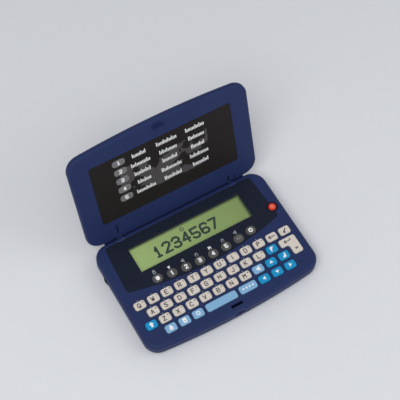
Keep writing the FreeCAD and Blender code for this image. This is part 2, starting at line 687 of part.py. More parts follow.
door_ways = [rod("door_way", "screw_radius + fit_gap", "door_thickness", "cell_x", DOOR_SCREW_Y, HEAD_Z),
             rod("door_sink", "screw_head_radius + fit_gap", "door_thickness / 2", "cell_x",
                 DOOR_SCREW_Y, HEAD_Z)]
keep("battery_door", removed("door_solid", door, group("door_openings", door_ways)))


def screw(name, x, y, z, head_height, length):
    """A screw driven from below: a head with a cross slot, and its shank."""
    head = rod(name + "_head", "screw_head_radius", head_height, x, y, z)
    slots = [block(f"{name}_slot_{n}", w, d, f"{head_height} * 0.8", x, y,
                   f"{z} - {head_height} * 0.4")
             for n, (w, d) in enumerate((("2.4 * screw_radius", "0.5 * screw_radius"),
                                         ("0.5 * screw_radius", "2.4 * screw_radius")))]
    shank = rod(name + "_shank", "screw_radius", length, x, y, f"{z} + {head_height}")
    return removed(name + "_cut", joined(name + "_blank", [head, shank]), group(name + "_cross", slots))


keep("case_screws", group("case_screw_set", [
    screw(f"case_screw_{n}", x, y, "screw_sink", "screw_head_height",
          "screw_length - screw_sink - fit_gap")
    for n, (x, y) in enumerate(screw_places)]))
keep("door_screw", screw("door_screw_part", "cell_x", DOOR_SCREW_Y, HEAD_Z, "door_thickness / 2",
                         "seam_height - 2.6 * door_thickness"))

# Lid: an outer shell and an inner panel that carries the arms, the latch tongue and the insert.
SHELL_Z = f"({LID_FACE} + lid_panel_thickness)"
shell_top = size("base_height") + size("lid_gap") + size("lid_panel_thickness") + size("lid_shell_thickness")
shell = lid_slab("lid_shell", "0", SHELL_Z, "lid_shell_thickness")
shell = body_edge(shell, shell_top, "lid_edge_radius")
shell = body_edge(shell, shell_top - size("lid_shell_thickness"), "seam_edge")
shell_room = lid_slab("lid_room", "wall", SHELL_Z, "lid_shell_thickness - lid_skin")
ribs = [block(f"lid_rib_{n}", "lid_rib", f"body_depth - lid_setback - 2 * wall",
              "lid_shell_thickness - lid_skin / 2", f"{n} * body_width / 4", "-lid_setback / 2", SHELL_Z)
        for n in (-1, 0, 1)]
shell_cut = removed("lid_shell_cut", shell, shell_room)
keep("lid_shell", joined("lid_shell_solid", [shell_cut] + ribs))
panel = lid_slab("lid_panel", "0", LID_FACE, "lid_panel_thickness")
panel = body_edge(panel, size("base_height") + size("lid_gap"), "lid_rim_radius")
panel = body_edge(panel, shell_top - size("lid_shell_thickness"), "seam_edge")
TONGUE_Y = "(-body_depth / 2 + slot_from_front + slot_depth / 2)"
tongue = block("latch_tongue", "tongue_width", "tongue_thickness", "tongue_reach + lid_panel_thickness / 2",
               "0", TONGUE_Y, f"{LID_FACE} - tongue_reach")
INSERT_Y = f"({HINGE_Y} - insert_from_hinge - insert_depth / 2)"
insert_seat = block("insert_seat", "insert_width + 2 * fit_gap", "insert_depth + 2 * fit_gap",
                    "insert_thickness", "0", INSERT_Y, LID_FACE)
insert_seat = eased("insert_seat_round", insert_seat, "Part::Fillet", upright,
                    size("insert_corner") + size("fit_gap"))
slit = block("lid_slit", "slit_width", "slit_length", "slit_depth", "-hinge_x",
             f"{HINGE_Y} - slit_from_hinge - slit_length / 2", LID_FACE)
insert = block("insert_plate", "insert_width", "insert_depth", "insert_thickness", "0", INSERT_Y, LID_FACE)
insert = eased("insert_round", insert, "Part::Fillet", upright, size("insert_corner"))
keep("lid_panel", removed("lid_panel_solid", joined("lid_panel_full", [panel, tongue] + arms),
                          group("lid_panel_openings", [insert_seat, slit] + arm_bores)))
keep("lid_insert", insert)

# Swing the lid's pieces open about the hinge axis.
for label in ("lid_shell", "lid_panel", "lid_insert"):
    piece = parts[label]
    turned = FreeCAD.Rotation(FreeCAD.Vector(1, 0, 0), -size("lid_open_angle"))
    shut = piece.Placement
    pivot = FreeCAD.Vector(0, size("body_depth") / 2 - size("hinge_from_rear"),
                           size("base_height") - size("hinge_below_deck"))
    piece.Placement = FreeCAD.Placement(pivot - turned.multVec(pivot), turned).multiply(shut)

doc.recompute()
os.makedirs("parts", exist_ok=True)
for label, piece in parts.items():
    shape = piece.Shape
    if shape.isNull() or not shape.isValid() or not shape.Solids:
        raise RuntimeError(f"{label} has no valid solid")
for obj in doc.Objects:
    if "Invalid" in obj.State or "Error" in obj.State:
        raise RuntimeError(f"{obj.Label} did not compute")
for label, piece in parts.items():
    piece.Shape.exportStep(f"parts/{label}.step")
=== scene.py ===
"""Looks of a handheld translator: finishes for its solid pieces and the prints on them."""

import json
import math

import bpy
import numpy as np
from bpy.props import FloatProperty, FloatVectorProperty, PointerProperty
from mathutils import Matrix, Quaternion, Vector


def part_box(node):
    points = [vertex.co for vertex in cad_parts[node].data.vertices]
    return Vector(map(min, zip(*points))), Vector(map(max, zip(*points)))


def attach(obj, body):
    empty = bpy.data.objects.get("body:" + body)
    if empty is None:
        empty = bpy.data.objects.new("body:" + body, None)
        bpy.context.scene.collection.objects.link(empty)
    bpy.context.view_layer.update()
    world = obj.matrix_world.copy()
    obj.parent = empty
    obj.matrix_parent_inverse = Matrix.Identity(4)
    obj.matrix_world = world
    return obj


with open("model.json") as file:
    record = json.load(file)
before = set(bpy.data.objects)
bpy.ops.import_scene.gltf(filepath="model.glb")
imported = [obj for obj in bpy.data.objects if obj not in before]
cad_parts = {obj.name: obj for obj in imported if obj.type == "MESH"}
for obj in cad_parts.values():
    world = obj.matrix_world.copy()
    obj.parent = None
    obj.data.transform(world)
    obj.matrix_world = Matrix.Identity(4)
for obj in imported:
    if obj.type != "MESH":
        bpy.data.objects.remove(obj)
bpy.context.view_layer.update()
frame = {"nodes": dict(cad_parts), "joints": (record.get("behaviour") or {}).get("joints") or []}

bl_info = {
    "name": "Handheld translator looks",
    "version": (1, 0, 0),
    "blender": (4, 5, 0),
    "location": "View3D > Sidebar > Translator",
    "description": "Finishes and prints for a handheld translator with a hinged lid",
    "category": "Object",
}

MM = 0.001
NODES = frame["nodes"]
LID_HINGE = next(joint for joint in frame["joints"] if joint["name"] == "lid_hinge")

NAVY_PIECES = ("lower_case", "upper_case", "lid_shell", "lid_panel", "battery_door")
STEEL_PIECES = ("case_screws", "door_screw", "hinge_pins", "coin_cell", "battery_contacts")
CREAM_CAPS = ("erase_key", "edit_key", "enter_key")
BRIGHT_CAPS = ("page_up_key", "shift_key", "up_key", "page_down_key", "left_key", "down_key", "right_key")
LIGHT_CAPS = ("symbol_key", "mode_key_1", "mode_key_2", "mode_key_3", "space_key", "wide_key")
BUTTONS = tuple(f"function_button_{i}" for i in range(1, 9))


def tone(red, green, blue):
    """A colour as seen on a screen, 0 to 255, as the linear values that shaders use.

    With c from 0 to 1, the dark end is c / 12.92 and the rest is ((c + 0.055) / 1.055) ^ 2.4.
    """
    seen = np.array([red, green, blue]) / 255
    linear = np.where(seen <= 0.04045, seen / 12.92, ((seen + 0.055) / 1.055) ** 2.4)
    return tuple(float(v) for v in linear)


def colour_property(name, words, default):
    """A colour that a user can change."""
    return FloatVectorProperty(name=name, description=words, default=default, subtype="COLOR",
                               size=3, min=0, max=1)


def length_property(name, words, millimetres):
    """A length that a user can change, given in millimetres and kept in metres."""
    return FloatProperty(name=name, description=words, default=millimetres * MM, unit="LENGTH",
                         subtype="DISTANCE", precision=5)


class TranslatorColours(bpy.types.PropertyGroup):
    navy: colour_property("Navy", "Colour of the cases and the lid", tone(34, 47, 90))
    bezel: colour_property("Bezel", "Colour of the dark panel round the display", tone(25, 31, 47))
    insert: colour_property("Insert", "Colour of the printed sheet in the lid", tone(33, 29, 28))
    insert_shape: colour_property("Insert shapes", "Colour of the sheet's soft shapes", tone(76, 73, 74))
    pill: colour_property("Pills", "Colour of the numbered ovals in the lid", tone(118, 116, 117))
    print_white: colour_property("White print", "Colour of the light prints", tone(246, 246, 246))
    print_grey: colour_property("Grey print", "Colour of the faint prints", tone(150, 152, 160))
    print_dark: colour_property("Dark print", "Colour of the marks on light keys", tone(48, 42, 44))
    cream: colour_property("Cream keys", "Colour of the letter keys", tone(217, 209, 199))
    bright_blue: colour_property("Bright keys", "Colour of the arrow keys", tone(20, 146, 200))
    light_blue: colour_property("Light keys", "Colour of the mode keys and space bar", tone(132, 178, 216))
    button: colour_property("Round buttons", "Colour of the round buttons", tone(84, 83, 82))
    power: colour_property("Power", "Colour of the power button", tone(222, 62, 44))
    display_left: colour_property("Display, left", "The display's lighter end", tone(192, 220, 140))
    display_right: colour_property("Display, right", "The display's darker end", tone(158, 182, 108))
    display_ink: colour_property("Display figures", "The display's dark figures", tone(44, 62, 56))


class TranslatorSizes(bpy.types.PropertyGroup):
    print_height: length_property("Print height", "How far a print stands over its surface", 0.03)
    letter_height: length_property("Letter height", "Height of the key letters", 3.1)
    letter_stroke: length_property("Letter stroke", "Line width of the key letters", 0.5)
    icon_height: length_property("Icon height", "Height of the small icons over the buttons", 2.6)
    number_height: length_property("Number height", "Height of the numbers on the buttons", 3.0)
    digit_height: length_property("Figure height", "Height of the figures in the display", 8.2)
    digit_pitch: length_property("Figure pitch", "Step between figures in the display", 6.6)
    pill_width: length_property("Pill width", "Width of the numbered ovals", 8.3)
    pill_depth: length_property("Pill depth", "Height of the numbered ovals", 5.0)
    pill_place: length_property("Pill place", "Where the ovals stand across the lid", -28.5)
    word_height: length_property("Word height", "Height of the rows of ticks", 2.7)
    first_line: length_property("First line", "Top line of print, up the lid from the hinge", 58.4)
    line_pitch: length_property("Line pitch", "Step between lines of print in the lid", 7.1)
    lid_face: length_property("Lid face", "From the hinge axis square to the lid's inner face", 1.9)
    strip_radius: length_property("Strip radius", "Inner radius of the strip behind the hinge", 3.4)
    strip_wall: length_property("Strip wall", "Thickness of the strip behind the hinge", 0.35)
    strip_half: length_property("Strip half", "Half the length of the strip behind the hinge", 49.5)


class TranslatorView(bpy.types.PropertyGroup):
    place: FloatVectorProperty(name="Camera place", description="Where the camera stands",
                               default=(-0.1692, -0.2525, 0.6503), subtype="TRANSLATION", unit="LENGTH")
    aim: FloatVectorProperty(name="Camera aim", description="The point it looks at",
                             default=(0.01363, 0.03315, 0.02), subtype="TRANSLATION", unit="LENGTH")
    roll: FloatProperty(name="Camera roll", description="Turn about its own axis",
                        default=math.radians(2.8066), subtype="ANGLE", unit="ROTATION")
    lens: FloatProperty(name="Lens", description="Focal length on a 36 mm sensor, in millimetres",
                        default=104.84, subtype="DISTANCE_CAMERA")
    sky: FloatProperty(name="Sky light", description="Strength of the even light", default=0.5, min=0)
    lamp: FloatProperty(name="Lamp", description="Power of the large soft lamp", default=3.0, min=0,
                        unit="POWER")


class Finish:
    """A node material in the making. Its patterns read the object's own coordinates.

    A noise's scale is in features per metre, so 3200 is a grain of about a third of a millimetre.
    """

    def __init__(self, name):
        self.material = bpy.data.materials.new(name)
        self.material.use_nodes = True
        self.nodes = self.material.node_tree.nodes
        self.links = self.material.node_tree.links
        self.shader = next(node for node in self.nodes if node.type == "BSDF_PRINCIPLED")
        self.place = self.nodes.new("ShaderNodeTexCoord").outputs["Object"]

    def feed(self, socket, value):
        """Links an output to a socket, or sets the socket to a number or a colour."""
        if isinstance(value, bpy.types.NodeSocket):
            self.links.new(value, socket)
        elif socket.type == "RGBA":
            socket.default_value = (*value, 1)
        else:
            socket.default_value = value

    def surface(self, values):
        """Feeds the surface shader's sockets, given by their names."""
        for name, value in values.items():
            self.feed(self.shader.inputs[name], value)

    def axes(self):
        """The coordinates one by one, as outputs named X, Y and Z."""
        split = self.nodes.new("ShaderNodeSeparateXYZ")
        self.links.new(self.place, split.inputs[0])
        return split.outputs

    def noise(self, scale, detail=3.0, place=None):
        """Soft noise from 0 to 1."""
        made = self.nodes.new("ShaderNodeTexNoise")
        made.inputs["Scale"].default_value = scale
        made.inputs["Detail"].default_value = detail
        self.links.new(place or self.place, made.inputs["Vector"])
        return made.outputs["Fac"]

    def ramp(self, value, low=0.0, high=1.0, first=0.0, last=1.0):
        """A number that goes from first to last as the value goes from low to high."""
        made = self.nodes.new("ShaderNodeMapRange")
        for name, number in (("From Min", low), ("From Max", high), ("To Min", first), ("To Max", last)):
            made.inputs[name].default_value = number
        self.links.new(value, made.inputs["Value"])
        return made.outputs["Result"]

    def combine(self, operation, first, second=None):
        """One step of arithmetic on a value, or on two."""
        made = self.nodes.new("ShaderNodeMath")
        made.operation = operation
        self.feed(made.inputs[0], first)
        if second is not None:
            self.feed(made.inputs[1], second)
        return made.outputs[0]

    def mix(self, factor, first, second, blend="MIX"):
        """A colour that goes from first to second as the factor rises."""
        made = self.nodes.new("ShaderNodeMix")
        made.data_type = "RGBA"
        made.blend_type = blend
        for number, value in ((0, factor), (6, first), (7, second)):
            self.feed(made.inputs[number], value)
        return made.outputs[2]

    def bump(self, scale, strength, depth):
        """Makes the surface finely uneven, from noise."""
        made = self.nodes.new("ShaderNodeBump")
        made.inputs["Strength"].default_value = strength
        made.inputs["Distance"].default_value = depth
        self.links.new(self.noise(scale), made.inputs["Height"])
        self.links.new(made.outputs["Normal"], self.shader.inputs["Normal"])


def moulded(name, colour, rough, grain, spread=0.12, coat=0.0, gloss=0.3):
    """Moulded plastic, soft rubber or paint, with a fine grain.

    Broad noise moves the colour by the spread each way, and finer noise moves the roughness.
    """
    finish = Finish(name)
    darker = tuple(v * (1 - spread) for v in colour)
    lighter = tuple(min(1, v * (1 + spread)) for v in colour)
    finish.surface({
        "Base Color": finish.mix(finish.noise(scale=70), darker, lighter),
        "Roughness": finish.ramp(finish.noise(scale=400), first=rough - 0.05, last=rough + 0.07),
        "Specular IOR Level": gloss,
        "Coat Weight": coat,
        "Coat Roughness": 0.08,
    })
    finish.bump(scale=3200, strength=grain, depth=0.02 * MM)
    return finish.material


def printed_sheet(name, ground, shapes):
    """The lid's printed sheet: near black, with soft grey shapes like islands.

    The shapes are where low noise is over a threshold. The noise is first multiplied by ramps
    that fall towards the sheet's edges, which keeps the margins plain.
    """
    finish = Finish(name)
    axes = finish.axes()
    low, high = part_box("lid_insert")
    middle = (Vector(low) + Vector(high)) / 2
    half_width, half_height = 31 * MM, 13 * MM
    fade_from, fade_to = -2 * MM, 6 * MM
    islands = finish.noise(scale=92, detail=5.0)
    for axis, centre, reach in (("X", middle.x, half_width), ("Z", middle.z, half_height)):
        away = finish.combine("ABSOLUTE", finish.combine("SUBTRACT", axes[axis], centre))
        inside = finish.ramp(away, low=reach + fade_to, high=reach + fade_from)
        islands = finish.combine("MULTIPLY", islands, inside)
    finish.surface({
        "Base Color": finish.mix(finish.ramp(islands, low=0.485, high=0.505), ground, shapes),
        "Roughness": 0.5,
        "Specular IOR Level": 0.15,
    })
    finish.bump(scale=2600, strength=0.12, depth=0.01 * MM)
    return finish.material


def display_glass(name, left, right):
    """The display's panel: green that darkens from left to right, with a faint grid of cells.

    Along its rear and right edges it darkens with painted shade, where the panel round it stands over it.
    """
    finish = Finish(name)
    axes = finish.axes()
    low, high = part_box("display_window")
    ground = finish.mix(finish.ramp(axes["X"], low[0], high[0]), left, right)
    cells = finish.nodes.new("ShaderNodeTexChecker")
    cells.inputs["Scale"].default_value = 1600
    finish.feed(cells.inputs["Color1"], (1, 1, 1))
    finish.feed(cells.inputs["Color2"], (0.93, 0.94, 0.92))
    finish.feed(cells.inputs["Vector"], finish.place)
    gridded = finish.mix(1, ground, cells.outputs["Color"], "MULTIPLY")
    # Painted shade: near the rear and right edges that the bezel covers, the colour goes towards a dark
    # green, as if the bezel shadowed it.
    corner = Vector(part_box("lcd_panel")[1])
    covered = 3.0 * MM
    painted_shades = [finish.ramp(axes[axis], edge - covered - reach, edge - covered, last=0.85)
              for axis, edge, reach in (("X", corner.x, 2.0 * MM), ("Y", corner.y, 1.5 * MM))]
    # The dark green below is the colour of the painted shade.
    finish.surface({
        "Base Color": finish.mix(finish.combine("MAXIMUM", *painted_shades), gridded, tone(40, 52, 38)),
        "Roughness": 0.5,
        "Specular IOR Level": 0.2,
    })
    return finish.material


def clear_pane(name):
    """The thin clear pane over the display, with a few faint smears in its gloss."""
    finish = Finish(name)
    finish.surface({
        "Base Color": finish.mix(finish.noise(scale=40), (0.1, 0.13, 0.11), (0.16, 0.2, 0.17)),
        "Roughness": finish.ramp(finish.noise(scale=90), first=0.06, last=0.16),
        "Specular IOR Level": 0.3,
        "Alpha": 0.1,
    })
    return finish.material


def brushed(name, colour):
    """Plated steel with fine scratches along X."""
    finish = Finish(name)
    stretch = finish.nodes.new("ShaderNodeMapping")
    stretch.inputs["Scale"].default_value = (0.05, 1, 1)
    finish.feed(stretch.inputs["Vector"], finish.place)
    scratches = finish.noise(scale=5000, place=stretch.outputs[0])
    finish.surface({
        "Base Color": finish.mix(scratches, tuple(v * 0.8 for v in colour), colour),
        "Metallic": 1,
        "Roughness": 0.32,
    })
    return finish.material


def circuit_green(name):
    """Board lacquer: green with darker tracks under it, from bands of a wave over the plate."""
    finish = Finish(name)
    wave = finish.nodes.new("ShaderNodeTexWave")
    wave.inputs["Scale"].default_value = 180
    wave.inputs["Distortion"].default_value = 6
    finish.feed(wave.inputs["Vector"], finish.place)
    finish.surface({
        "Base Color": finish.mix(wave.outputs["Fac"], tone(18, 74, 44), tone(30, 108, 64)),
        "Roughness": 0.35,
    })
    return finish.material


# Roughness and colour spread of each paint that the prints share.
PAINTS = {"white": (0.55, 0.03), "grey": (0.55, 0.05), "dark": (0.6, 0.08)}
PAINT_GRAIN = 0.1


def paint(shade):
    """The white, grey or dark paint, made once."""
    name = f"{shade}_print"
    rough, spread = PAINTS[shade]
    colour = getattr(bpy.context.scene.translator_colours, f"print_{shade}")
    return bpy.data.materials.get(name) or moulded(name, colour, rough, PAINT_GRAIN, spread)


def finish_nodes(names, material):
    """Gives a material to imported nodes."""
    for name in names:
        for holder in NODES[name].material_slots:
            holder.material = material


# Outlines are arrays of points in a print's own plane, in metres.

END_POINTS = 7
RING_POINTS = 17
OVAL_POINTS = 40


def capsule(start, end, width):
    """A round-ended stroke: a half circle about each end, joined by straight sides."""
    start, end = np.asarray(start, float), np.asarray(end, float)
    along = (end - start) / np.linalg.norm(end - start)
    across = np.array([-along[1], along[0]])
    turn = np.linspace(-np.pi / 2, np.pi / 2, END_POINTS)[:, None]
    cap = np.cos(turn) * along + np.sin(turn) * across
    return np.vstack([end + cap * width / 2, start - cap * width / 2])


def strokes(points, width):
    """Round-ended strokes from each point to the next."""
    return [capsule(start, end, width) for start, end in zip(points, points[1:])]


def oval(centre, width, depth, power=2.0):
    """A superellipse: |x/a|^n + |y/b|^n = 1, an ellipse at n = 2 and squarer above."""
    turn = np.linspace(0, 2 * np.pi, OVAL_POINTS, endpoint=False)
    x = np.sign(np.cos(turn)) * np.abs(np.cos(turn)) ** (2 / power) * width / 2
    y = np.sign(np.sin(turn)) * np.abs(np.sin(turn)) ** (2 / power) * depth / 2
    return np.column_stack([x, y]) + centre


def ring(centre, diameter, width, sweep=(0, 360)):
    """A ring, or the arc of one over a sweep in degrees, as a chain of strokes."""
    turn = np.radians(np.linspace(*sweep, RING_POINTS))
    return strokes(np.column_stack([np.cos(turn), np.sin(turn)]) * diameter / 2 + centre, width)


# Each sign is drawn by pen strokes on a grid 6 high and 4 wide, which two long arrows overrun to
# the right. A pair of digits is a point, x then y, and a comma lifts the pen.
GRID_HEIGHT = 6
GRID_MIDDLE = np.array([2, 3])
SIGNS = {
    "A": "00 26 40,12 32", "B": "00 06 36 45 44 33 03,33 42 41 30 00", "C": "45 36 16 05 01 10 30 41",
    "D": "00 06 26 45 41 20 00", "E": "40 00 06 46,03 33", "F": "00 06 46,03 33",
    "G": "45 36 16 05 01 10 30 41 43 23", "H": "00 06,40 46,03 43", "I": "20 26",
    "J": "01 10 30 41 46", "K": "00 06,46 02,13 40", "L": "06 00 40", "M": "00 06 23 46 40",
    "N": "00 06 40 46", "O": "10 01 05 16 36 45 41 30 10", "P": "00 06 36 45 44 33 03",
    "Q": "10 01 05 16 36 45 41 30 10,22 40", "R": "00 06 36 45 44 33 03,23 40",
    "S": "45 36 16 05 04 13 33 42 41 30 10 01", "T": "06 46,26 20", "U": "06 01 10 30 41 46",
    "V": "06 20 46", "W": "06 10 24 30 46", "X": "00 46,06 40", "Y": "06 23 46,23 20",
    "Z": "06 46 00 40", "=": "02 42,04 44",
    "1": "14 26 20,10 30", "2": "05 16 36 45 44 00 40", "3": "05 16 36 45 44 33 13,33 42 41 30 10 01",
    "4": "30 36 02 42", "5": "46 06 03 33 42 41 30 10 01", "6": "45 36 16 05 01 10 30 41 42 33 13 02",
    "7": "06 46 10",
    "back": "83 03,25 03 21", "return": "85 83 03,25 03 21", "pencil": "00 34,45 34,00 02,00 20",
    "corner_up": "00 06 46,24 06", "corner_down": "00 40 46,22 40",
    "lock": "00 03 43 40 00,13 15 26 35 33", "note": "02 04 24 46 40 22 02",
    "card": "00 06 46 40 00,04 44", "book": "20 25 05 00 20 40 45 25",
    "case": "00 04 44 40 00,14 16 36 34", "bed": "00 05,02 42 40,14 44", "arch": "00 03 15 35 43 40",
    "person": "20 23,03 43,10 23 30",
}


def sign(name, centre, height, width):
    """The strokes of one sign, centred, at that line width."""
    step = (height - width) / GRID_HEIGHT
    outlines = []
    for chain in SIGNS[name].split(","):
        cells = np.array([[int(digit) for digit in pair] for pair in chain.split()])
        outlines += strokes((cells - GRID_MIDDLE) * step + centre, width)
    return outlines


# Shares of a row's height: the step between its ticks, their width and a short tick's height.
TICK_STEP, TICK_WIDTH, SHORT_TICK = 0.34, 0.2, 0.64


def tick_row(middle, ticks, height, seed):
    """A row of plain upright ticks, which stands for a line of print and spells nothing.

    Tick k stands k steps along. The first tick is tall, and so is each one where the sine of
    2.3 k plus the seed is over 0.8. The others are short.
    """
    places = (np.arange(ticks) - (ticks - 1) / 2) * height * TICK_STEP + middle[0]
    tall = np.sin(np.arange(ticks) * 2.3 + seed) > 0.8
    tall[0] = True
    foot = middle[1] - height / 2
    tops = foot + height * np.where(tall, 1, SHORT_TICK)
    return [capsule((x, foot), (x, top), height * TICK_WIDTH) for x, top in zip(places, tops)]


class Surface:
    """A flat place that prints lie on: its origin, its right, up and outward directions."""

    def __init__(self, origin, right, up):
        self.origin = np.asarray(origin, float)
        self.right = np.asarray(right, float)
        self.up = np.asarray(up, float)
        self.out = np.cross(self.right, self.up)

    def at(self, points, lift):
        """The places of plane points at a height over the surface."""
        return self.origin + points[:, :1] * self.right + points[:, 1:] * self.up + lift * self.out


def deck(height):
    """The level surface at that height over the table."""
    return Surface((0, 0, height), (1, 0, 0), (0, 1, 0))


def lid_surface():
    """The lid's inner face. Its origin is the hinge axis carried square to the face; up is up the lid."""
    rise = math.pi - math.radians(max(LID_HINGE["range_deg"]))
    up = np.array([0, math.cos(rise), math.sin(rise)])
    behind = np.array([0, math.sin(rise), -math.cos(rise)])
    origin = np.array(LID_HINGE["pos_m"]) + behind * bpy.context.scene.translator_sizes.lid_face
    return Surface(origin, (1, 0, 0), up)


def middle_of(node):
    """The middle of a node's box in plan, and its top."""
    low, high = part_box(node)
    return np.array([(low[0] + high[0]) / 2, (low[1] + high[1]) / 2]), high[2]


PLATE_STEP = 0.004 * MM
PLATE_LEVELS = 7


def plates(name, outlines, surface, reach, body, material):
    """One object of closed plates: each outline is carried along the surface's outward direction.

    Plates that follow each other end at slightly different heights, so that faces never coincide
    where strokes cross.
    """
    corners, faces, used = [], [], 0
    for number, outline in enumerate(outlines):
        following = np.roll(outline, -1, axis=0)
        area = np.sum(outline[:, 0] * following[:, 1] - following[:, 0] * outline[:, 1])
        outline = outline if area > 0 else outline[::-1]
        count = len(outline)
        step = number % PLATE_LEVELS * PLATE_STEP
        corners += [surface.at(outline, reach[0] - step), surface.at(outline, reach[1] + step)]
        ids = np.arange(count) + used
        next_ids = np.roll(ids, -1)
        faces += [ids[::-1].tolist(), (ids + count).tolist()]
        faces += np.column_stack([ids, next_ids, next_ids + count, ids + count]).tolist()
        used += 2 * count
    mesh = bpy.data.meshes.new(name)
    mesh.from_pydata(np.vstack(corners).tolist(), [], faces)
    mesh.update()
    mesh.materials.append(material)
    piece = bpy.data.objects.new(name, mesh)
    bpy.context.scene.collection.objects.link(piece)
    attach(piece, body)


def print_piece(name, outlines, surface, body, material, lift=0.0):
    """Prints outlines on a surface, from a little under it to the print's height over it."""
    height = bpy.context.scene.translator_sizes.print_height
    plates(name, outlines, surface, (lift - height, lift + height), body, material)


def mark_key(node, outlines):
    """Prints outlines about the middle of a loose key's top; they ride on the key."""
    centre, top = middle_of(node)
    if node in CREAM_CAPS:
        material, slot = paint("dark"), "cream_caps"
    else:
        material, slot = paint("white"), "bright_blue_keys" if node in BRIGHT_CAPS else "light_blue_keys"
    print_piece(f"{node}_mark", [o + centre for o in outlines], deck(top), f"{node}_body", material)


class TRANSLATOR_OT_cases(bpy.types.Operator):
    """Finishes the cases, the lid, the trim and the pieces inside"""
    bl_idname = "translator.cases"
    bl_label = "Finish cases and lid"

    def execute(self, context):
        colours = context.scene.translator_colours
        finish_nodes(NAVY_PIECES, moulded("navy_plastic", colours.navy, 0.5, 0.45, gloss=0.2))
        finish_nodes(("display_bezel",), moulded("bezel_plastic", colours.bezel, 0.4, 0.15, gloss=0.15))
        finish_nodes(("lid_insert",), printed_sheet("printed_sheet", colours.insert, colours.insert_shape))
        finish_nodes(("contrast_wheel",), moulded("black_plastic", tone(22, 22, 26), 0.5, 0.4))
        finish_nodes(STEEL_PIECES, brushed("plated_steel", (0.62, 0.62, 0.6)))
        finish_nodes(("circuit_board",), circuit_green("board_lacquer"))
        return {"FINISHED"}


class TRANSLATOR_OT_hinge_strip(bpy.types.Operator):
    """Closes the gap behind the base with a thin strip that turns with the lid.

    The strip is an arc about the hinge axis. Its angles, in degrees, rise from the level line that
    runs from the axis to the rear.
    """
    bl_idname = "translator.hinge_strip"
    bl_label = "Make hinge strip"

    lowest, highest, points = -38, 50, 15

    def execute(self, context):
        sizes = context.scene.translator_sizes
        turn = np.radians(np.linspace(self.lowest, self.highest, self.points))[:, None]
        round_axis = np.hstack([np.cos(turn), np.sin(turn)])
        arc = np.vstack([round_axis * (sizes.strip_radius + sizes.strip_wall),
                         round_axis[::-1] * sizes.strip_radius])
        across = Surface(LID_HINGE["pos_m"], (0, 1, 0), (0, 0, 1))
        navy = bpy.data.materials["navy_plastic"]
        plates("hinge_strip", [arc], across, (-sizes.strip_half, sizes.strip_half), "lid", navy)
        return {"FINISHED"}


class TRANSLATOR_OT_keys(bpy.types.Operator):
    """Finishes the keys and buttons in their colours"""
    bl_idname = "translator.keys"
    bl_label = "Finish keys and buttons"

    def execute(self, context):
        colours = context.scene.translator_colours
        finish_nodes(("letter_keypad",), moulded("cream_rubber", colours.cream, 0.62, 0.5, spread=0.04))
        finish_nodes(CREAM_CAPS, moulded("cream_plastic", colours.cream, 0.55, 0.4, spread=0.04))
        finish_nodes(BRIGHT_CAPS, moulded("bright_blue_plastic", colours.bright_blue, 0.5, 0.4, spread=0.06))
        finish_nodes(LIGHT_CAPS, moulded("light_blue_plastic", colours.light_blue, 0.52, 0.4, spread=0.05))
        finish_nodes(BUTTONS, moulded("button_plastic", colours.button, 0.45, 0.4))
        finish_nodes(("power_button",), moulded("power_plastic", colours.power, 0.4, 0.2, coat=0.1))
        return {"FINISHED"}


class TRANSLATOR_OT_letters(bpy.types.Operator):
    """Prints plain single letters on the soft keys, with a small mark in one corner of each"""
    bl_idname = "translator.letters"
    bl_label = "Print key letters"

    # Places are from a key's middle. The bar stands on the deck behind the key.
    letter_place = np.array([-0.6, -0.2]) * MM
    corner_place = np.array([2.2, 1.2]) * MM
    dash = np.array([0.5, 0.25]) * MM
    dash_width = 0.36 * MM
    upright = np.array([[0, -0.45], [0, 0.3]]) * MM
    upright_width = 0.3 * MM
    bar = np.array([[-0.3, 3.55], [0.3, 3.55]]) * MM
    bar_width = 0.34 * MM
    # Key steps from the shift key, under the first key of the top row, to the erase key.
    steps = 10

    def execute(self, context):
        sizes = context.scene.translator_sizes
        first, top = middle_of("shift_key")
        second, _ = middle_of("page_up_key")
        last, _ = middle_of("erase_key")
        pitch = (last[0] - first[0]) / self.steps
        middle_row = "ASDFGHJKL"
        rows = (("QWERTYUIOP", first[0], last[1]),
                (middle_row, second[0] - len(middle_row) * pitch, second[1]),
                ("ZXCVBNM", first[0] + pitch, first[1]))
        letters, corners, bars = [], [], []
        for line, start, y in rows:
            for i, letter in enumerate(line):
                middle = np.array([start + i * pitch, y])
                letters += sign(letter, middle + self.letter_place, sizes.letter_height, sizes.letter_stroke)
                corner = middle + self.corner_place
                corners.append(capsule(corner, corner + self.dash * (1, i % 3 - 1), self.dash_width))
                if i % 2 == 0:
                    corners.append(capsule(*(corner + self.upright), self.upright_width))
                bars.append(capsule(*(middle + self.bar), self.bar_width))
        print_piece("key_letters", letters, deck(top), "base", paint("dark"))
        print_piece("key_corner_marks", corners, deck(top), "base", paint("dark"))
        deck_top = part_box("upper_case")[1][2]
        print_piece("deck_key_marks", bars, deck(deck_top), "base", paint("grey"))
        return {"FINISHED"}


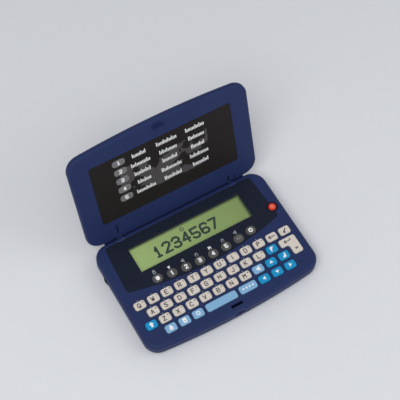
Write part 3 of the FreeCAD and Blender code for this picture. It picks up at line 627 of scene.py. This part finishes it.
class TRANSLATOR_OT_key_signs(bpy.types.Operator):
    """Prints arrows and plain signs on the loose keys"""
    bl_idname = "translator.key_signs"
    bl_label = "Print key signs"

    arrow = np.array([[-1.25, -0.75], [1.25, -0.75], [0, 1.15]]) * MM
    arrow_turns = {"up_key": 0, "left_key": 90, "down_key": 180, "right_key": 270}
    wide_arrow = np.array([[-0.65, -1.6], [0.65, -1.6], [0.65, 0.1], [1.6, 0.1], [0, 1.7], [-1.6, 0.1],
                           [-0.65, 0.1]]) * MM
    # The sign on each key, its height and its line width in millimetres.
    signs = {
        "page_up_key": ("corner_up", 3.0, 0.85), "page_down_key": ("corner_down", 3.0, 0.85),
        "mode_key_1": ("lock", 3.1, 0.75), "mode_key_2": ("card", 3.1, 0.75),
        "symbol_key": ("note", 3.1, 0.75),
    }
    pencil_size = (3.4 * MM, 0.6 * MM)
    ring_size = (2.1 * MM, 0.55 * MM)
    dot_size = (1.2 * MM, 1.2 * MM)
    dot_places = np.array([-3.3, -1.1, 1.1, 3.3]) * MM
    erase_place = (-1.0 * MM, 0)
    long_arrow = (3.6 * MM, 0.5 * MM)
    equals = (2.6 * MM, 0.5 * MM)
    # On the L-shaped key, the arrow's place is from the middle and the rear edge, and the equals
    # sign's is from the right edge and the middle.
    arrow_inset = (1.4 * MM, 3.2 * MM)
    equals_inset = (3.8 * MM, 3.0 * MM)

    def execute(self, context):
        for node, degrees in self.arrow_turns.items():
            turn = math.radians(degrees)
            spin = np.array([[math.cos(turn), math.sin(turn)], [-math.sin(turn), math.cos(turn)]])
            mark_key(node, [self.arrow @ spin])
        mark_key("shift_key", [self.wide_arrow])
        for node, (name, height, width) in self.signs.items():
            mark_key(node, sign(name, (0, 0), height * MM, width * MM))
        mark_key("mode_key_3", ring((0, 0), *self.ring_size))
        mark_key("wide_key", [oval((x, 0), *self.dot_size) for x in self.dot_places])
        mark_key("erase_key", sign("back", self.erase_place, *self.long_arrow))
        mark_key("edit_key", sign("pencil", (0, 0), *self.pencil_size))
        low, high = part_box("enter_key")
        half_width, half_depth = (high[0] - low[0]) / 2, (high[1] - low[1]) / 2
        arrow = sign("return", (-self.arrow_inset[0], half_depth - self.arrow_inset[1]), *self.long_arrow)
        equals = sign("=", (half_width - self.equals_inset[0], -self.equals_inset[1]), *self.equals)
        mark_key("enter_key", arrow + equals)
        return {"FINISHED"}


class TRANSLATOR_OT_button_signs(bpy.types.Operator):
    """Prints plain numbers on the round buttons, small icons over them and the power sign, and paints shade
    as a dark ring in the gap round the power button
    """
    bl_idname = "translator.button_signs"
    bl_label = "Print button signs"

    numbers = {2: "1", 3: "2", 4: "3", 5: "4", 6: "5"}
    icons = {1: "case", 2: "person", 3: "note", 4: "arch", 5: "bed", 6: "arch", 7: "note"}
    bright_icons = (2, 5)
    icon_rise = 4.7 * MM
    icon_stroke = 0.5 * MM
    number_stroke = 0.66 * MM
    # Each size is a height or a diameter, and then the line width.
    book_size = (3.0 * MM, 0.9 * MM)
    ring_size = (2.1 * MM, 0.85 * MM)
    bar_places = (-1.2 * MM, -0.4 * MM, 0.4 * MM, 1.2 * MM)
    half_bar = 0.9 * MM
    bar_width = 0.25 * MM
    power_size = (1.9 * MM, 0.36 * MM)
    power_sweep = (120, 420)
    power_stem = 1.1 * MM
    # The dark ring round the power button is painted shade: it stands for the shadowed gap between the
    # button and its hole.
    power_gap_shade_size = (5.7 * MM, 0.55 * MM)

    def execute(self, context):
        sizes = context.scene.translator_sizes
        icons = {"white": [], "grey": []}
        for number, node in enumerate(BUTTONS, 1):
            centre, top = middle_of(node)
            shade = "grey" if number == 7 else "white"
            print_piece(f"{node}_mark", self.face(number, centre, sizes.number_height), deck(top),
                        f"{node}_body", paint(shade))
            if number in self.icons:
                shade = "white" if number in self.bright_icons else "grey"
                place = centre + (0, self.icon_rise)
                icons[shade] += sign(self.icons[number], place, sizes.icon_height, self.icon_stroke)
        bezel = deck(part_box("display_bezel")[1][2])
        print_piece("bright_icons", icons["white"], bezel, "base", paint("white"))
        print_piece("faint_icons", icons["grey"], bezel, "base", paint("grey"))
        centre, top = middle_of("power_button")
        power = ring(centre, *self.power_size, self.power_sweep)
        power.append(capsule(centre, centre + (0, self.power_stem), self.power_size[1]))
        glow = moulded("power_print", tone(255, 158, 128), 0.5, PAINT_GRAIN, spread=0.05)
        print_piece("power_button_mark", power, deck(top), "power_button_body", glow)
        # Painted shade: a dark ring on the bezel round the power button, where the gap by the button lies in
        # shadow.
        dark = moulded("power_ring_paint", tone(12, 13, 20), 0.6, PAINT_GRAIN, gloss=0.1)
        print_piece("power_ring", ring(centre, *self.power_gap_shade_size), bezel, "base", dark)
        return {"FINISHED"}

    def face(self, number, centre, height):
        """The strokes on a button: a book, a number, four thin bars or a ring."""
        if number in self.numbers:
            return sign(self.numbers[number], centre, height, self.number_stroke)
        if number == 1:
            return sign("book", centre, *self.book_size)
        if number == 7:
            return [capsule(centre + (x, -self.half_bar), centre + (x, self.half_bar), self.bar_width)
                    for x in self.bar_places]
        return ring(centre, *self.ring_size)


class TRANSLATOR_OT_display(bpy.types.Operator):
    """Finishes the display and sets plain figures in it"""
    bl_idname = "translator.display"
    bl_label = "Make display"

    # Places are from the window's middle, and the first figure's is in figure pitches.
    figures = "1234567"
    first_step = -3.6
    drop = -1.0 * MM
    figure_stroke = 1.5 * MM
    ring_place = np.array([-3.6, 5.2]) * MM
    ring_size = (2.2 * MM, 0.5 * MM)

    def execute(self, context):
        colours = context.scene.translator_colours
        sizes = context.scene.translator_sizes
        panel = display_glass("display_panel", colours.display_left, colours.display_right)
        finish_nodes(("lcd_panel",), panel)
        finish_nodes(("display_window",), clear_pane("clear_pane"))
        centre, _ = middle_of("display_window")
        outlines = []
        for i, figure in enumerate(self.figures):
            place = centre + ((i + self.first_step) * sizes.digit_pitch, self.drop)
            outlines += sign(figure, place, sizes.digit_height, self.figure_stroke)
        outlines += ring(centre + self.ring_place, *self.ring_size)
        ink = moulded("display_ink", colours.display_ink, 0.6, PAINT_GRAIN, spread=0.1)
        panel_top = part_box("lcd_panel")[1][2]
        print_piece("display_figures", outlines, deck(panel_top), "base", ink)
        return {"FINISHED"}


class TRANSLATOR_OT_lid_print(bpy.types.Operator):
    """Prints numbered ovals and rows of ticks in the lid, and paints shade as dark slits in the gaps by the
    hinge
    """
    bl_idname = "translator.lid_print"
    bl_label = "Print lid"

    lines = 5
    columns = np.array([-15.2, 3.2, 22.3]) * MM
    # A row has up to five ticks more than this, by its line and its column.
    fewest_ticks = 10
    number_size = (3.0 * MM, 0.62 * MM)
    number_lift = 0.05 * MM
    # Each slit of painted shade by the hinge: its start and its end, across and up the lid, and its width.
    slits = np.array([[-39.7, 4.8, -38.9, 12.2, 0.4], [-42.6, 2.6, -41.6, 2.6, 1.3],
                      [38.6, 6.6, 38.6, 2.4, 0.9], [38.6, 2.4, 41.0, 2.4, 0.9],
                      [42.8, 2.4, 42.8, 5.4, 0.7]]) * MM

    def execute(self, context):
        sizes = context.scene.translator_sizes
        face = lid_surface()
        pills, numbers, words = [], [], []
        for row in range(self.lines):
            v = sizes.first_line - row * sizes.line_pitch
            pills.append(oval((sizes.pill_place, v), sizes.pill_width, sizes.pill_depth, power=3.4))
            numbers += sign(str(row + 1), (sizes.pill_place, v), *self.number_size)
            for column, x in enumerate(self.columns):
                ticks = self.fewest_ticks + (4 * row + 5 * column) % 6
                words += tick_row((x, v), ticks, sizes.word_height, seed=row + 2 * column)
        slits = [capsule(slit[:2], slit[2:4], slit[4]) for slit in self.slits]
        # The dark slits are painted shade: they stand for the shadowed gaps and notches by the hinge arms.
        black = moulded("slit_black", tone(9, 11, 22), 0.6, PAINT_GRAIN, gloss=0.1)
        print_piece("hinge_slits", slits, face, "lid", black)
        colour = context.scene.translator_colours.pill
        pill_paint = moulded("pill_print", colour, 0.5, PAINT_GRAIN, spread=0.05)
        print_piece("lid_ovals", pills, face, "lid", pill_paint)
        print_piece("lid_numbers", numbers, face, "lid", paint("white"), self.number_lift)
        print_piece("lid_words", words, face, "lid", paint("white"))
        return {"FINISHED"}


class TRANSLATOR_OT_stage(bpy.types.Operator):
    """Makes the pale floor, the soft light and the camera"""
    bl_idname = "translator.stage"
    bl_label = "Make stage"

    floor_reach = 3.0
    floor_depth = 0.01
    # Each lamp's place, and its share of the lamp power.
    lamps = {"key_lamp": ((-0.35, -0.25, 0.75), 1.0), "fill_lamp": ((0.55, -0.35, 0.5), 0.35)}
    lamp_size = 0.5
    lamp_aim = (0, 0, 0.03)

    def execute(self, context):
        view = context.scene.translator_view
        self.make_floor()
        self.make_sky(view.sky)
        for name, (place, share) in self.lamps.items():
            self.make_lamp(name, place, view.lamp * share)
        lens = bpy.data.cameras.new("camera")
        lens.lens = view.lens
        lens.sensor_width = 36
        lens.clip_start = 0.01
        camera = bpy.data.objects.new("camera", lens)
        context.scene.collection.objects.link(camera)
        towards = Vector(view.aim) - Vector(view.place)
        camera.rotation_mode = "QUATERNION"
        camera.rotation_quaternion = (towards.to_track_quat("-Z", "Y")
                                      @ Quaternion((0, 0, 1), view.roll))
        camera.location = view.place
        context.scene.camera = camera
        context.scene.view_settings.view_transform = "Standard"
        return {"FINISHED"}

    def make_floor(self):
        """A wide flat slab under the translator."""
        ends = (-self.floor_reach, self.floor_reach)
        depths, fronts, rights = np.meshgrid((-self.floor_depth, 0), ends, ends, indexing="ij")
        corners = np.column_stack([rights.ravel(), fronts.ravel(), depths.ravel()])
        sides = [(0, 2, 3, 1), (4, 5, 7, 6), (0, 1, 5, 4), (1, 3, 7, 5), (3, 2, 6, 7), (2, 0, 4, 6)]
        mesh = bpy.data.meshes.new("floor")
        mesh.from_pydata(corners.tolist(), [], sides)
        mesh.materials.append(moulded("pale_floor", tone(226, 228, 232), 0.8, 0.05, spread=0.01))
        floor = bpy.data.objects.new("floor", mesh)
        bpy.context.scene.collection.objects.link(floor)

    @staticmethod
    def make_sky(strength):
        """Even light of that strength, which the camera itself sees as white."""
        world = bpy.data.worlds.new("even_light")
        world.use_nodes = True
        nodes, links = world.node_tree.nodes, world.node_tree.links
        light = next(node for node in nodes if node.type == "BACKGROUND")
        light.inputs["Color"].default_value = (0.97, 0.98, 1, 1)
        path = nodes.new("ShaderNodeLightPath")
        level = nodes.new("ShaderNodeMapRange")
        level.inputs["To Min"].default_value = strength
        links.new(path.outputs["Is Camera Ray"], level.inputs["Value"])
        links.new(level.outputs["Result"], light.inputs["Strength"])
        bpy.context.scene.world = world

    def make_lamp(self, name, place, power):
        """A square soft lamp that faces the translator."""
        light = bpy.data.lights.new(name, "AREA")
        light.size = self.lamp_size
        light.energy = power
        lamp = bpy.data.objects.new(name, light)
        lamp.location = place
        lamp.rotation_mode = "QUATERNION"
        lamp.rotation_quaternion = (Vector(self.lamp_aim) - Vector(place)).to_track_quat("-Z", "Y")
        bpy.context.scene.collection.objects.link(lamp)


STEPS = ("cases", "hinge_strip", "keys", "letters", "key_signs", "button_signs", "display", "lid_print",
         "stage")


class TRANSLATOR_PT_panel(bpy.types.Panel):
    """Lists the steps and the values of the translator"""
    bl_label = "Translator"
    bl_idname = "TRANSLATOR_PT_panel"
    bl_space_type = "VIEW_3D"
    bl_region_type = "UI"
    bl_category = "Translator"

    def draw(self, context):
        for step in STEPS:
            self.layout.operator(f"translator.{step}")
        for group in (context.scene.translator_colours, context.scene.translator_sizes,
                      context.scene.translator_view):
            for key in group.__annotations__:
                self.layout.prop(group, key)


CLASSES = (TranslatorColours, TranslatorSizes, TranslatorView, TRANSLATOR_OT_cases,
           TRANSLATOR_OT_hinge_strip, TRANSLATOR_OT_keys, TRANSLATOR_OT_letters,
           TRANSLATOR_OT_key_signs, TRANSLATOR_OT_button_signs, TRANSLATOR_OT_display,
           TRANSLATOR_OT_lid_print, TRANSLATOR_OT_stage, TRANSLATOR_PT_panel)


def register():
    for each in CLASSES:
        bpy.utils.register_class(each)
    bpy.types.Scene.translator_colours = PointerProperty(type=TranslatorColours)
    bpy.types.Scene.translator_sizes = PointerProperty(type=TranslatorSizes)
    bpy.types.Scene.translator_view = PointerProperty(type=TranslatorView)


def unregister():
    del bpy.types.Scene.translator_view
    del bpy.types.Scene.translator_sizes
    del bpy.types.Scene.translator_colours
    for each in reversed(CLASSES):
        bpy.utils.unregister_class(each)


def main():
    register()
    for step in STEPS:
        getattr(bpy.ops.translator, step)()


if __name__ == "__main__":
    main()
